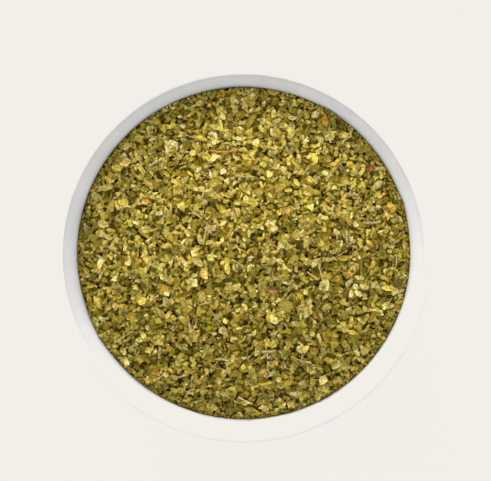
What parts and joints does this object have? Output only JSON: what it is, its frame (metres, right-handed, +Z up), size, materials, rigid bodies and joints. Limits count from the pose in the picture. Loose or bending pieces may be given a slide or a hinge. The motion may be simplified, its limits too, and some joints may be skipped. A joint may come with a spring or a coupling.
{
  "type": "bowl of dried oregano",
  "caption": "Small round footed white porcelain bowl, filled to below its rim with dried, rubbed oregano leaves.",
  "frame": {"origin": "centre of the foot ring, on the surface that the bowl stands on", "axes": "+Z up out of the bowl, along its axis; the bowl is round, so X and Y only place the leaves"},
  "size_m": [0.12, 0.12, 0.05],
  "materials": {
    "white_porcelain": "smooth white glaze",
    "dried_leaf": "matt dried leaf, olive to khaki",
    "dried_stalk": "matt straw-coloured stalk",
    "brown_leaf": "matt brown dried leaf"
  },
  "bodies": {
    "root": {"bowl": "white_porcelain", "oregano_bed": "dried_leaf", "stalk_piece_01": "dried_stalk", "stalk_piece_02": "dried_stalk", "stalk_piece_03": "dried_stalk", "stalk_piece_04": "dried_stalk", "stalk_piece_05": "dried_stalk", "stalk_piece_06": "dried_stalk", "brown_leaf_bit_01": "brown_leaf", "brown_leaf_bit_02": "brown_leaf", "brown_leaf_bit_03": "brown_leaf", "brown_leaf_bit_04": "brown_leaf", "brown_leaf_bit_05": "brown_leaf", "brown_leaf_bit_06": "brown_leaf"}
  },
  "joints": []
}
